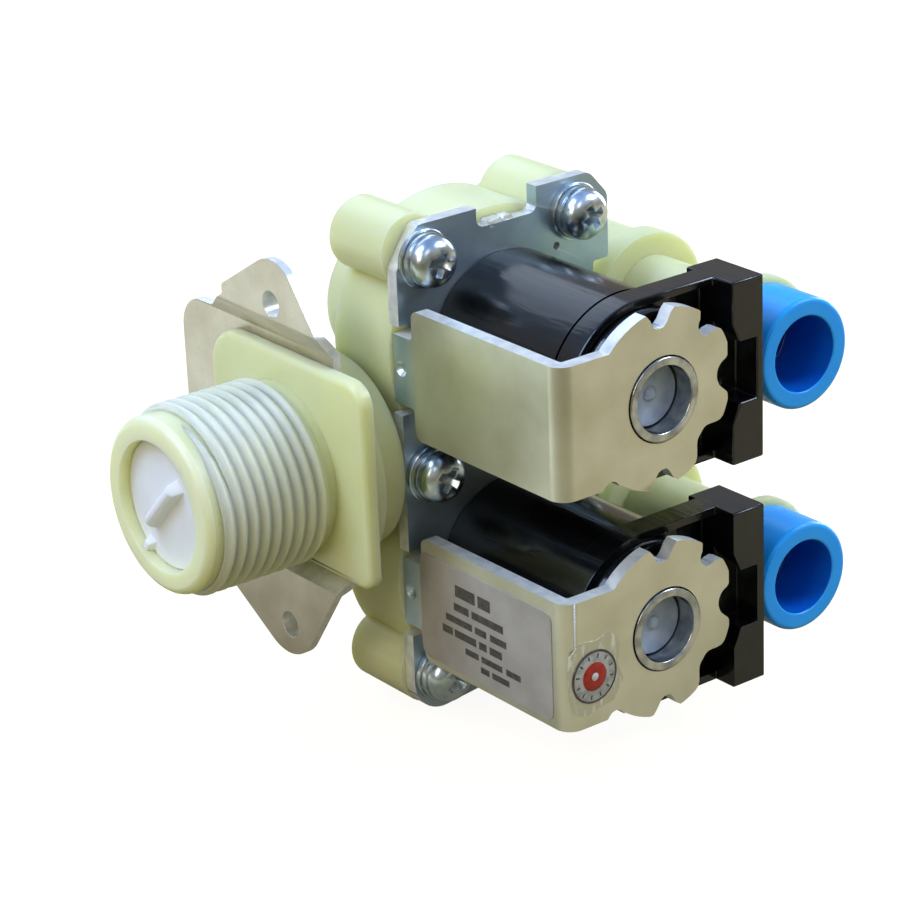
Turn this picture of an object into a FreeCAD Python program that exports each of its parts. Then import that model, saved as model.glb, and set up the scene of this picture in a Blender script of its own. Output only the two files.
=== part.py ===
import FreeCAD, Part
import math
import os

# Twin-outlet water inlet valve of a washing machine, in millimetres.
# X = 0 is the face of the bracket that lies on the machine's wall, the inlet axis is the line Y = 0, Z = 0,
# the inlet mouth points to -X, the solenoids stand out towards -Y and +Z is up.

# Where the main axes lie
solenoid_x = 29.0
solenoid_spacing = 32.0
inlet_rise = 1.46
face_depth = 10.0
outlet_reach = 25.8
outlet_drop = 1.0

# Inlet connection, a G3/4 thread whose turns stand on this root
thread_root_r = 12.06
inlet_reach = 19.7
inlet_bore_r = 9.0
flange_setback = 0.5
flange_t = 2.0
flange_front = 18.3
flange_rear = 16.1
flange_top = 16.1
flange_bottom = 12.4
flange_corner_rear = 5.5
flange_corner_front = 3.3
flange_corner_small = 1.9
collar_r = 16.3
collar_t = 1.5
throat_r = 13.6
throat_gap = 1.2
manifold_r = 9.9
supply_r = 6.0

# Valve chambers in the body
chamber_r = 17.7
chamber_depth = 12.0
bonnet_r = 14.6
bonnet_t = 1.7
bead_height = 5.3
bead_width = 2.3
floor_t = 1.7
seat_r = 6.3
seat_bore_r = 4.6
boss_r = 5.0
boss_length = 11.6
housing_r = 10.6

# Outlets
channel_r = 6.6
channel_setback = 4.2
outlet_chamber_r = 8.3
outlet_ring_r = 9.3
outlet_ring_t = 3.5
outlet_ring_front = 2.1
outlet_tube_r = 6.1
outlet_bore_r = 4.4
passage_r = 4.1
outlet_cap = 0.8
shoulder_r = 8.5
shoulder_t = 1.4
shoulder_reach = 24.3
sleeve_r = 7.65
sleeve_bore_r = 5.19
sleeve_length = 8.5
sleeve_chamfer = 0.4

# Mounting bracket, one folded sheet that slides over the neck behind the square flange
bracket_t = 1.2
bracket_hole_spacing = 46.0
bracket_hole_r = 1.8
bracket_burr_r = 2.5
bracket_burr_height = 1.2
bracket_edge = 9.8
bracket_foot = 1.6
bracket_rear = 25.7
bracket_rear_drop = 5.6
bracket_rear_rise = 9.1
bracket_rear_round = 5.0
bracket_round = 1.5
top_fold_gap = 1.3
top_joggle = 3.3
bottom_fold_gap = 0.9
bottom_joggle = 1.5
upper_ear_reach = 8.0
upper_ear_tip = 1.8
upper_ear_round = 5.5
upper_ear_rear = 11.5
upper_ear_step = 1.4
upper_ear_corner = 0.6
hump_start = 17.5
hump_drop = 5.1
lower_ear_reach = 6.7
lower_ear_tip = 1.1
lower_ear_round = 6.8

# Yoke, one sheet with a base plate and two arms folded towards the front
sheet_t = 2.0
bend_r = 2.3
inner_bend_r = 0.4
yoke_depth = 34.2
arm_reach = 16.94
arm_half = 9.0
arm_drop = 0.7
tab_half = 4.8
tab_length = 4.2
tab_corner = 0.6
arm_corner = 1.2
relief_w = 1.4
relief_depth = 3.0
dimple_r = 1.0
dimple_depth = 0.8
dimple_setback = 1.6
pole_disc_r = 12.1
pole_flat = 10.85
pole_notch_r = 1.4
pole_notch_depth = 2.5
pole_notch_turns = (93.0, 48.0, -91.0)
pole_waist_r = 2.1
pole_waist_reach = 11.15
pole_waist_turn = 4.0
pole_scoop_r = 2.7
pole_scoop_reach = 11.9
pole_scoop_turn = -45.0
strip_notch_reach = 13.5
strip_notch_turn = -131.0
plate_reach = 19.4
base_left = 17.3
base_right = 15.7
base_lobe = 18.4
base_corner = 1.0
base_chamfer_w = 3.7
base_chamfer_height = 6.3
base_step = 0.8
base_heel = 2.1
base_heel_round = 4.8
lobe_height = 12.7
lobe_corner_w = 3.1
lobe_corner_height = 3.6
lobe_corner_round = 2.0
lobe_inner_round = 0.5
edge_notch_w = 10.1
edge_notch_depth = 3.5
edge_notch_shift = 1.1
edge_notch_round = 1.2

# Screws, M4 pan heads with a spring washer and a plain washer
screw_left = 13.2
screw_right = 11.8
screw_inset_top = 4.8
screw_inset_bottom = 6.0
screw_r = 1.9
screw_length = 11.0
head_r = 3.75
head_height = 2.7
spring_washer_t = 1.0
washer_r = 4.0
washer_t = 0.8

# Coils, moulded round the winding with a front rim and a connector block
coil_r = 12.1
coil_bore_r = 5.75
rim_r = 12.3
rim_w = 3.9
rim_setback = 2.3
rim_wall = 1.2
rim_depth = 2.6
core_boss_r = 9.7
block_inner = 12.4
block_w = 5.4
block_top = 12.3
block_bottom = 12.9
block_length = 8.9
block_setback = 0.7
block_corner = 0.3
recess_wall = 1.2
recess_top = 3.9
recess_bottom = 4.4
recess_slant_w = 1.3
recess_slant_height = 2.7
recess_depth = 4.0
blade_w = 6.3
blade_t = 0.8
blade_length = 7.0
blade_root = 3.0
blade_spacing = 8.5
blade_chamfer = 1.0

# Guide tube, plunger and diaphragm of one solenoid
flux_sleeve_r = 5.64
flux_sleeve_wall = 1.14
flux_sleeve_length = 12.0
flux_sleeve_proud = 0.3
guide_r = 4.3
guide_wall = 0.7
guide_end_t = 1.0
guide_setback = 2.7
plunger_lift = 2.5
plunger_pocket_r = 1.9
plunger_pocket_depth = 8.0
tip_r = 1.8
tip_proud = 0.5
spring_r = 1.7
spring_wire = 0.44
spring_turns = 5
spring_steps = 10
web_t = 1.0
pilot_r = 0.6
insert_r = 6.8
insert_t = 1.6

# Strainer in the inlet
strainer_depth = 3.0
strainer_disc_r = 8.5
strainer_disc_t = 1.1
post_count = 4
post_w = 2.4
post_t = 1.2
strainer_length = 15.0
rib_length = 10.0
rib_w = 2.0
rib_height = 2.7
rib_chamfer = 0.67
rib_turn = 45.0
key_w = 1.5
key_height = 2.0
key_depth = 2.0
key_turn = 57.0

# Label on the lower arm and round seal on the lower pole plate
label_t = 0.15
label_height = 15.2
label_start = 3.9
label_end = 2.8
label_drop = 0.5
seal_r = 3.7
seal_from_bend = 4.5
seal_drop = 2.7

# Clearances between pieces
loose_fit = 0.1
running_fit = 0.08
slide_fit = 0.05
soft_gap = 0.3

# How far a cut runs past the face that it opens, and how near two places count as the same
overcut = 1.0
same = 1e-4

# Places worked out from the sizes above
mid_z = -inlet_rise
solenoid_z = {"upper": mid_z + solenoid_spacing / 2, "lower": mid_z - solenoid_spacing / 2}
outlet_x = solenoid_x + outlet_reach
face_y = -face_depth
base_front_y = face_y - sheet_t
yoke_front_y = face_y - yoke_depth
pole_back_y = yoke_front_y + sheet_t
rim_front_y = pole_back_y + rim_setback
rim_back_y = rim_front_y + rim_w
block_front_y = yoke_front_y + block_setback
block_back_y = block_front_y + block_length
arm_x = solenoid_x - arm_reach
flange_x = flange_setback
bracket_x = flange_x + flange_t + loose_fit
collar_x = bracket_x + bracket_t + loose_fit
throat_x = collar_x + collar_t
throat_end_x = solenoid_x - base_left - throat_gap
chamber_back_y = face_y + chamber_depth
ledge_y = face_y + bonnet_t + bead_height
floor_y = chamber_back_y - floor_t
seat_y = ledge_y
channel_y = chamber_back_y + channel_setback
body_back_y = channel_y + channel_r + outlet_cap
bead_front_y = face_y + bonnet_t
cavity_r = bonnet_r - bead_width
plunger_r = guide_r - guide_wall - running_fit
insert_front_y = seat_y - web_t - insert_t
plunger_back_y = insert_front_y - tip_proud
guide_front_y = yoke_front_y + guide_setback
guide_inner_y = guide_front_y + guide_end_t
plunger_front_y = guide_inner_y + plunger_lift + loose_fit
outlet_mouth_y = face_y - shoulder_reach
strainer_x = -inlet_reach + strainer_depth
strainer_seat_x = strainer_x + strainer_length
plate_top = solenoid_z["upper"] + plate_reach
plate_bottom = solenoid_z["lower"] - plate_reach
screw_places = [
    (solenoid_x + side, row)
    for side in (-screw_left, screw_right)
    for row in (plate_bottom + screw_inset_bottom, mid_z, plate_top - screw_inset_top)
]


def vector(x, y, z):
    return FreeCAD.Vector(x, y, z)


def rod_x(radius, x_start, x_end, y=0.0, z=0.0):
    return Part.makeCylinder(radius, x_end - x_start, vector(x_start, y, z), vector(1, 0, 0))


def rod_y(radius, y_start, y_end, x, z):
    return Part.makeCylinder(radius, y_end - y_start, vector(x, y_start, z), vector(0, 1, 0))


def block(x_range, y_range, z_range):
    size = [end - start for start, end in (x_range, y_range, z_range)]
    return Part.makeBox(*size, vector(x_range[0], y_range[0], z_range[0]))


def turned_y(profile, x, z):
    """A ring or disc turned about a line along Y, from (radius, y) points."""
    points = [vector(radius, y, 0) for radius, y in profile]
    face = Part.Face(Part.makePolygon(points + points[:1]))
    solid = face.revolve(vector(0, 0, 0), vector(0, 1, 0), 360)
    solid.translate(vector(x, 0, z))
    return solid


def rounded_outline(corners):
    """A closed plane wire from (point, radius) corners, with an arc at each corner that has a radius."""
    edges = []
    ends = []
    count = len(corners)
    for index, (corner, radius) in enumerate(corners):
        before = (corners[index - 1][0] - corner).normalize()
        after = (corners[(index + 1) % count][0] - corner).normalize()
        if radius == 0:
            ends.append((corner, corner))
            continue
        half = before.getAngle(after) / 2
        reach = radius / math.tan(half)
        middle = corner + (before + after).normalize() * (radius / math.sin(half) - radius)
        start = corner + before * reach
        end = corner + after * reach
        edges.append(Part.Arc(start, middle, end).toShape())
        ends.append((start, end))
    for index in range(count):
        start = ends[index][1]
        end = ends[(index + 1) % count][0]
        if start.distanceToPoint(end) > same:
            edges.append(Part.makeLine(start, end))
    return Part.Wire(Part.__sortEdges__(edges))


def plate_x(corners, x_start, x_end):
    """A flat piece with its outline in (y, z, radius) corners, between two X planes."""
    wire = rounded_outline([(vector(x_start, y, z), radius) for y, z, radius in corners])
    return Part.Face(wire).extrude(vector(x_end - x_start, 0, 0))


def plate_y(corners, y_start, y_end):
    """A flat piece with its outline in (x, z, radius) corners, between two Y planes."""
    wire = rounded_outline([(vector(x, y_start, z), radius) for x, z, radius in corners])
    return Part.Face(wire).extrude(vector(0, y_end - y_start, 0))


def joined(shapes):
    return shapes[0].multiFuse(shapes[1:]).removeSplitter()


def edges_where(shape, test):
    return [edge for edge in shape.Edges if test(edge)]


def is_circle(edge, radius, axis_name, place):
    """Whether an edge is a circle of a radius, in the plane where its axis coordinate equals place."""
    curve = edge.Curve
    if not isinstance(curve, Part.Circle):
        return False
    return abs(curve.Radius - radius) < same and abs(getattr(curve.Center, axis_name) - place) < same


def upright_edge(edge, x, y):
    """Whether an edge runs along Z at a place."""
    first = edge.Vertexes[0].Point
    last = edge.Vertexes[-1].Point
    return all(abs(point.x - x) < same and abs(point.y - y) < same for point in (first, last))


def inlet_outside():
    root = rod_x(thread_root_r, -inlet_reach, collar_x)
    flange = plate_x([
        (-flange_front, flange_top, flange_corner_front),
        (flange_rear, flange_top, flange_corner_rear),
        (flange_rear, -flange_bottom, flange_corner_small),
        (-flange_front, -flange_bottom, flange_corner_small),
    ], flange_x, flange_x + flange_t)
    collar = rod_x(collar_r, collar_x, throat_x)
    throat = rod_x(throat_r, collar_x, throat_end_x)
    manifold = rod_x(manifold_r, throat_x, solenoid_x)
    return joined([root, flange, collar, throat, manifold])


def chamber_outside(z):
    """The round valve chamber with the narrower housing of its seat behind it."""
    chamber = rod_y(chamber_r, face_y, chamber_back_y, solenoid_x, z)
    housing = rod_y(housing_r, face_y, body_back_y, solenoid_x, z)
    return chamber.fuse(housing)


def outlet_outside(z):
    outlet_z = z - outlet_drop
    channel = rod_x(channel_r, solenoid_x - channel_r, outlet_x, channel_y, outlet_z)
    chamber = rod_y(outlet_chamber_r, base_front_y, body_back_y, outlet_x, outlet_z)
    ring_y = face_y - outlet_ring_front
    ring = rod_y(outlet_ring_r, ring_y, ring_y + outlet_ring_t, outlet_x, outlet_z)
    tube = rod_y(outlet_tube_r, outlet_mouth_y, base_front_y, outlet_x, outlet_z)
    shoulder = rod_y(shoulder_r, outlet_mouth_y, outlet_mouth_y + shoulder_t, outlet_x, outlet_z)
    return joined([channel, chamber, ring, tube, shoulder])


def chamber_hollow(z):
    seat_ring = rod_y(seat_r, seat_y, floor_y, solenoid_x, z)
    recess = rod_y(bonnet_r + loose_fit, face_y, ledge_y, solenoid_x, z)
    cavity = rod_y(cavity_r, face_y, floor_y, solenoid_x, z).cut(seat_ring)
    return joined([recess, cavity])


def outlet_hollow(z):
    outlet_z = z - outlet_drop
    seat_bore = rod_y(seat_bore_r, seat_y, channel_y, solenoid_x, z)
    across = rod_x(passage_r, solenoid_x - passage_r, outlet_x, channel_y, outlet_z)
    outward = rod_y(outlet_bore_r, outlet_mouth_y, channel_y + outlet_bore_r, outlet_x, outlet_z)
    return joined([seat_bore, across, outward])


def inlet_hollow():
    return joined([
        rod_x(inlet_bore_r, -inlet_reach, strainer_seat_x),
        rod_x(supply_r, -inlet_reach, solenoid_x),
    ])


def valve_body():
    z_places = list(solenoid_z.values())
    outside = [inlet_outside()]
    outside += [chamber_outside(z) for z in z_places]
    outside += [outlet_outside(z) for z in z_places]
    outside += [rod_y(boss_r, face_y, face_y + boss_length, x, z) for x, z in screw_places]
    waist = block(
        (solenoid_x - screw_left, solenoid_x + screw_right),
        (face_y, chamber_back_y),
        (mid_z - boss_r, mid_z + boss_r),
    )
    body = joined(outside + [waist])
    for z in z_places:
        body = body.cut(chamber_hollow(z))
        body = body.cut(outlet_hollow(z))
    body = body.cut(inlet_hollow())
    screw_depth = screw_length - sheet_t - washer_t - spring_washer_t + loose_fit
    for x, z in screw_places:
        body = body.cut(rod_y(screw_r + slide_fit, face_y, face_y + screw_depth, x, z))
    return body.removeSplitter()


def mounting_bracket():
    half_spacing = bracket_hole_spacing / 2
    slot_r = thread_root_r + loose_fit
    top_fold = flange_top + top_fold_gap
    bottom_fold = -flange_bottom - bottom_fold_gap
    far = bracket_hole_spacing
    top_shift = bracket_t * math.tan(math.atan2(bracket_x, top_joggle) / 2)
    bottom_shift = bracket_t * math.tan(math.atan2(bracket_x, bottom_joggle) / 2)
    back_x = bracket_x + bracket_t
    profile = [
        (0, far),
        (0, top_fold + top_joggle),
        (bracket_x, top_fold),
        (bracket_x, bottom_fold),
        (0, bottom_fold - bottom_joggle),
        (0, -far),
        (bracket_t, -far),
        (bracket_t, bottom_fold - bottom_joggle - bottom_shift),
        (back_x, bottom_fold - bottom_shift),
        (back_x, top_fold + top_shift),
        (bracket_t, top_fold + top_joggle + top_shift),
        (bracket_t, far),
    ]
    points = [vector(x, -far, z) for x, z in profile]
    sheet = Part.Face(Part.makePolygon(points + points[:1])).extrude(vector(0, 2 * far, 0))
    foot_y = -bracket_edge - bracket_foot
    outline = plate_x([
        (-upper_ear_tip, half_spacing + upper_ear_reach, upper_ear_round),
        (upper_ear_rear, half_spacing, upper_ear_corner),
        (upper_ear_rear, half_spacing - upper_ear_step, upper_ear_corner),
        (hump_start, half_spacing - hump_drop, 2 * bracket_t),
        (bracket_rear, half_spacing - bracket_rear_drop, bracket_rear_round),
        (bracket_rear, -half_spacing + bracket_rear_rise, bracket_rear_round),
        (-lower_ear_tip, -half_spacing - lower_ear_reach, lower_ear_round),
        (foot_y, bottom_fold - bottom_joggle, 0),
        (foot_y, 0, 0),
        (-bracket_edge, 0, 0),
        (-bracket_edge, top_fold + top_joggle, bracket_round),
    ], -overcut, back_x + overcut)
    bracket = sheet.common(outline)
    slot = joined([
        rod_x(slot_r, -overcut, back_x + overcut),
        block((-overcut, back_x + overcut), (-far, 0), (-slot_r, slot_r)),
    ])
    bracket = bracket.cut(slot)
    burr_x = bracket_t + bracket_burr_height
    for z in (half_spacing, -half_spacing):
        burr = rod_x(bracket_burr_r, bracket_t / 2, burr_x, 0, z)
        hole = rod_x(bracket_hole_r, -overcut, burr_x + overcut, 0, z)
        bracket = bracket.fuse(burr).cut(hole)
    return bracket.removeSplitter()


def base_plate():
    left = solenoid_x - base_left
    right = solenoid_x + base_right
    lobe = solenoid_x + base_lobe
    notch_x = solenoid_x + edge_notch_shift
    plate = plate_y([
        (left, plate_top - base_chamfer_height, base_corner),
        (left + base_chamfer_w, plate_top - base_step, base_corner),
        (notch_x, plate_top - base_step, 0),
        (notch_x, plate_top, 0),
        (lobe - lobe_corner_w, plate_top, lobe_corner_round),
        (lobe, plate_top - lobe_corner_height, lobe_corner_round),
        (lobe, plate_top - lobe_height, lobe_inner_round),
        (right, plate_top - lobe_height, lobe_inner_round),
        (right, plate_bottom + lobe_height, lobe_inner_round),
        (lobe, plate_bottom + lobe_height, lobe_inner_round),
        (lobe, plate_bottom, base_heel_round),
        (notch_x, plate_bottom, 0),
        (notch_x, plate_bottom + base_heel, 0),
        (left, plate_bottom, base_heel_round),
    ], base_front_y, face_y)
    for edge_z, inward in ((plate_top, -1), (plate_bottom, 1)):
        outside_z = edge_z - inward * overcut
        deep_z = edge_z + inward * edge_notch_depth
        notch = plate_y([
            (notch_x - edge_notch_w / 2, outside_z, 0),
            (notch_x + edge_notch_w / 2, outside_z, 0),
            (notch_x + edge_notch_w / 2, deep_z, edge_notch_round),
            (notch_x - edge_notch_w / 2, deep_z, edge_notch_round),
        ], base_front_y - overcut, face_y + overcut)
        plate = plate.cut(notch)
    return plate


def pole_plate(z):
    """The front of one arm: a disc with notches round its rim, joined to the arm by a strip."""
    disc = rod_y(pole_disc_r, yoke_front_y, pole_back_y, solenoid_x, z)
    flat = block(
        (solenoid_x - pole_disc_r - overcut, solenoid_x + pole_flat),
        (yoke_front_y, pole_back_y),
        (z - pole_disc_r - overcut, z + pole_disc_r + overcut),
    )
    arm_z = z - arm_drop
    strip = block((arm_x, solenoid_x), (yoke_front_y, pole_back_y), (arm_z - arm_half, arm_z + arm_half))
    pole = joined([disc.common(flat), strip])
    notch_reach = pole_disc_r - pole_notch_depth + pole_notch_r
    slots = [(notch_reach, turn, pole_notch_r) for turn in pole_notch_turns]
    slots.append((pole_waist_reach, pole_waist_turn, pole_waist_r))
    slots.append((pole_scoop_reach, pole_scoop_turn, pole_scoop_r))
    slots.append((strip_notch_reach, strip_notch_turn, pole_notch_r))
    for reach, turn, half_width in slots:
        pole = pole.cut(radial_slot(reach, turn, half_width, z))
    bore = rod_y(flux_sleeve_r + slide_fit, yoke_front_y - overcut, pole_back_y + overcut, solenoid_x, z)
    return pole.cut(bore)


def radial_slot(reach, angle, half_width, z):
    """A cutter for a notch in the pole plate: round at its inner end and open outwards."""
    turn = math.radians(angle)
    x = solenoid_x + reach * math.cos(turn)
    notch_z = z + reach * math.sin(turn)
    y_range = (yoke_front_y - overcut, pole_back_y + overcut)
    round_end = rod_y(half_width, *y_range, x, notch_z)
    straight = block((reach, reach + pole_disc_r), y_range, (-half_width, half_width))
    straight.rotate(vector(0, 0, 0), vector(0, 1, 0), -angle)
    straight.translate(vector(solenoid_x, 0, z))
    return joined([round_end, straight])


def yoke_arm(z):
    """One arm: a narrow tab from the base plate, a wide side and the notched pole plate."""
    arm_z = z - arm_drop
    side = plate_x([
        (yoke_front_y, arm_z - arm_half, 0),
        (yoke_front_y, arm_z + arm_half, 0),
        (face_y - tab_length, arm_z + arm_half, arm_corner),
        (face_y - tab_length, arm_z + tab_half, tab_corner),
        (face_y, arm_z + tab_half, 0),
        (face_y, arm_z - tab_half, 0),
        (face_y - tab_length, arm_z - tab_half, tab_corner),
        (face_y - tab_length, arm_z - arm_half, arm_corner),
    ], arm_x, arm_x + sheet_t)
    return joined([side, pole_plate(z)])


def yoke():
    plate = base_plate()
    left = solenoid_x - base_left
    y_range = (base_front_y - overcut, face_y + overcut)
    for z in solenoid_z.values():
        arm_z = z - arm_drop
        cut_half = tab_half + relief_w
        relief = block((left - overcut, arm_x), y_range, (arm_z - cut_half, arm_z + cut_half))
        plate = plate.cut(relief)
        for side in (-1, 1):
            slot_z = sorted((arm_z + side * tab_half, arm_z + side * cut_half))
            plate = plate.cut(block((left - overcut, arm_x + relief_depth), y_range, slot_z))
    sheet = joined([plate] + [yoke_arm(z) for z in solenoid_z.values()])
    outer = edges_where(sheet, lambda edge: upright_edge(edge, arm_x, yoke_front_y))
    outer += edges_where(sheet, lambda edge: upright_edge(edge, arm_x, face_y))
    sheet = sheet.makeFillet(bend_r, outer)
    inner = edges_where(sheet, lambda edge: upright_edge(edge, arm_x + sheet_t, pole_back_y))
    inner += edges_where(sheet, lambda edge: upright_edge(edge, arm_x + sheet_t, base_front_y))
    sheet = sheet.makeFillet(inner_bend_r, inner)
    for z in solenoid_z.values():
        sheet = sheet.cut(rod_y(guide_r + soft_gap, *y_range, solenoid_x, z))
        dimple_y = face_y - dimple_setback
        sheet = sheet.cut(rod_x(dimple_r, arm_x - overcut, arm_x + dimple_depth, dimple_y, z - arm_drop))
    for x, z in screw_places:
        sheet = sheet.cut(rod_y(screw_r + soft_gap, *y_range, x, z))
    return sheet.removeSplitter()


def coil(z):
    back_y = base_front_y - loose_fit
    front_y = pole_back_y + loose_fit
    winding = rod_y(coil_r, rim_back_y, back_y, solenoid_x, z)
    rim_disc = rod_y(rim_r, rim_front_y, rim_back_y, solenoid_x, z)
    side_x = (solenoid_x, solenoid_x + block_inner)
    rim_side = block(side_x, (rim_front_y, rim_back_y), (z - block_bottom, z + block_top))
    rim = joined([rim_disc, rim_side])
    recess_y = (rim_front_y - overcut, rim_front_y + rim_depth)
    recess_round = rod_y(rim_r - rim_wall, *recess_y, solenoid_x, z)
    recess_side = block(side_x, recess_y, (z - block_bottom + rim_wall, z + block_top - rim_wall))
    rim = rim.cut(joined([recess_round, recess_side]))
    core_boss = rod_y(core_boss_r, front_y, rim_back_y, solenoid_x, z)
    bobbin = joined([winding, rim, core_boss, connector_block(z)])
    bore = rod_y(coil_bore_r, front_y - overcut, back_y + overcut, solenoid_x, z)
    return bobbin.cut(bore).removeSplitter()


def connector_block(z):
    """The housing of the two blade terminals, at the outlet side of the coil's rim."""
    inner = solenoid_x + block_inner
    outer = inner + block_w
    housing = plate_x([
        (block_front_y, z - block_bottom, block_corner),
        (block_front_y, z + block_top, block_corner),
        (block_back_y, z + block_top, block_corner),
        (block_back_y, z - block_bottom, block_corner),
    ], inner, outer)
    slant_x = inner + recess_slant_w
    recess = plate_y([
        (inner - overcut, z + recess_top + recess_slant_height, 0),
        (inner, z + recess_top + recess_slant_height, 0),
        (slant_x, z + recess_top, 0),
        (outer - recess_wall, z + recess_top, 0),
        (outer - recess_wall, z - recess_bottom, 0),
        (slant_x, z - recess_bottom, 0),
        (inner, z - recess_bottom - recess_slant_height, 0),
        (inner - overcut, z - recess_bottom - recess_slant_height, 0),
    ], block_front_y - overcut, block_front_y + recess_depth)
    housing = housing.cut(recess)
    for side in (-1, 1):
        housing = housing.cut(blade(z + side * blade_spacing / 2, slide_fit))
    return housing


def blade(blade_z, margin):
    """One flat terminal, or its pocket when a margin is given."""
    middle_x = solenoid_x + block_inner + block_w / 2
    half_t = blade_t / 2 + margin
    half_w = blade_w / 2 + margin
    return block(
        (middle_x - half_t, middle_x + half_t),
        (block_back_y - blade_root - margin, block_back_y + blade_length),
        (blade_z - half_w, blade_z + half_w),
    )


def terminals(z):
    blades = []
    tip_y = block_back_y + blade_length
    for side in (-1, 1):
        terminal = blade(z + side * blade_spacing / 2, 0)
        corners = edges_where(terminal, lambda edge: (
            abs(edge.CenterOfMass.y - tip_y) < same and abs(edge.Length - blade_t) < same
        ))
        blades.append(terminal.makeChamfer(blade_chamfer, corners))
    return Part.makeCompound(blades)


def flux_sleeve(z):
    front_y = yoke_front_y - flux_sleeve_proud
    back_y = front_y + flux_sleeve_length
    outer = rod_y(flux_sleeve_r, front_y, back_y, solenoid_x, z)
    bore = rod_y(flux_sleeve_r - flux_sleeve_wall, front_y - overcut, back_y + overcut, solenoid_x, z)
    return outer.cut(bore)


def guide_tube(z):
    """The nylon tube that the plunger slides in, with the disc that clamps the diaphragm."""
    bore_r = guide_r - guide_wall
    return turned_y([
        (0, guide_front_y),
        (guide_r, guide_front_y),
        (guide_r, face_y),
        (bonnet_r, face_y),
        (bonnet_r, bead_front_y),
        (bore_r, bead_front_y),
        (bore_r, guide_inner_y),
        (0, guide_inner_y),
    ], solenoid_x, z)


def plunger(z):
    """The steel core that the coil lifts, with a pocket for the spring and a tip for the pilot hole."""
    body = rod_y(plunger_r, plunger_front_y, plunger_back_y, solenoid_x, z)
    tip = rod_y(tip_r, plunger_back_y, insert_front_y, solenoid_x, z)
    pocket = rod_y(plunger_pocket_r, plunger_front_y, plunger_front_y + plunger_pocket_depth, solenoid_x, z)
    return body.fuse(tip).cut(pocket)


def plunger_spring(z):
    """A coil spring between the closed end of the guide tube and the bottom of the plunger's pocket."""
    start_y = guide_inner_y + spring_wire / 2 + slide_fit
    end_y = plunger_front_y + plunger_pocket_depth - spring_wire / 2 - slide_fit
    steps = spring_turns * spring_steps
    sections = []
    for step in range(steps + 1):
        turn = 2 * math.pi * step / spring_steps
        outward = vector(math.cos(turn), 0, math.sin(turn)) * (spring_wire / 2)
        along = vector(0, spring_wire / 2, 0)
        rise = start_y + (end_y - start_y) * step / steps
        centre = outward * (2 * spring_r / spring_wire - 1) + vector(solenoid_x, rise, z)
        corners = [centre + outward, centre + along, centre - outward, centre - along]
        sections.append(Part.makePolygon(corners + corners[:1]))
    return Part.makeLoft(sections, True, True)


def diaphragm(z):
    """A rubber disc on the seat, with a tall bead at its rim that the guide tube's disc clamps."""
    return turned_y([
        (pilot_r, seat_y),
        (bonnet_r, seat_y),
        (bonnet_r, bead_front_y),
        (cavity_r, bead_front_y),
        (cavity_r, seat_y - web_t),
        (pilot_r, seat_y - web_t),
    ], solenoid_x, z)


def diaphragm_insert(z):
    """The stiff middle of the diaphragm, with the pilot hole that the plunger's tip closes."""
    disc = rod_y(insert_r, insert_front_y, insert_front_y + insert_t, solenoid_x, z)
    return disc.cut(rod_y(pilot_r, insert_front_y, insert_front_y + insert_t, solenoid_x, z))


def outlet_sleeve(z):
    outlet_z = z - outlet_drop
    front_y = outlet_mouth_y - sleeve_length
    sleeve = rod_y(sleeve_r, front_y, outlet_mouth_y, outlet_x, outlet_z)
    mouth = edges_where(sleeve, lambda edge: is_circle(edge, sleeve_r, "y", front_y))
    sleeve = sleeve.makeChamfer(sleeve_chamfer, mouth)
    return sleeve.cut(rod_y(sleeve_bore_r, front_y, outlet_mouth_y, outlet_x, outlet_z))


def inlet_strainer():
    """One white moulding: a disc with a grip rib and a key, on legs that stand on the step in the bore."""
    disc_back_x = strainer_x + strainer_disc_t
    pieces = [rod_x(strainer_disc_r, strainer_x, disc_back_x)]
    for index in range(post_count):
        post_z = (-post_w / 2, post_w / 2)
        post = block((disc_back_x, strainer_seat_x), (supply_r, supply_r + post_t), post_z)
        post.rotate(vector(0, 0, 0), vector(1, 0, 0), 360 * (index + 0.5) / post_count)
        pieces.append(post)
    rib_y = (-rib_length / 2, rib_length / 2)
    rib = block((strainer_x - rib_height, strainer_x), rib_y, (-rib_w / 2, rib_w / 2))
    top_edges = edges_where(rib, lambda edge: (
        abs(edge.CenterOfMass.x - strainer_x + rib_height) < same and abs(edge.Length - rib_length) < same
    ))
    rib = rib.makeChamfer(rib_chamfer, top_edges)
    rib.rotate(vector(0, 0, 0), vector(1, 0, 0), -rib_turn)
    key_reach = inlet_bore_r - loose_fit
    key_y = (key_reach - key_depth, key_reach)
    key = block((strainer_x - key_height, disc_back_x), key_y, (-key_w / 2, key_w / 2))
    key = key.common(rod_x(key_reach, strainer_x - key_height, disc_back_x))
    key.rotate(vector(0, 0, 0), vector(1, 0, 0), -key_turn)
    return joined(pieces + [rib, key])


def screws():
    """Pan-head screws, each in one piece with the spring washer and plain washer that stay on it."""
    pieces = []
    washer_y = base_front_y - washer_t
    head_y = washer_y - spring_washer_t
    for x, z in screw_places:
        pieces.append(joined([
            rod_y(head_r, head_y - head_height, washer_y, x, z),
            rod_y(washer_r, washer_y, base_front_y, x, z),
            rod_y(screw_r, base_front_y, head_y + screw_length, x, z),
        ]))
    return Part.makeCompound(pieces)


def label():
    middle_z = solenoid_z["lower"] - arm_drop - label_drop
    back_y = face_y - label_start
    front_y = yoke_front_y + label_end
    z_range = (middle_z - label_height / 2, middle_z + label_height / 2)
    return block((arm_x - label_t, arm_x), (front_y, back_y), z_range)


def seal_sticker():
    seal_z = solenoid_z["lower"] - seal_drop
    return rod_y(seal_r, yoke_front_y - label_t, yoke_front_y, arm_x + seal_from_bend, seal_z)


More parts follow.
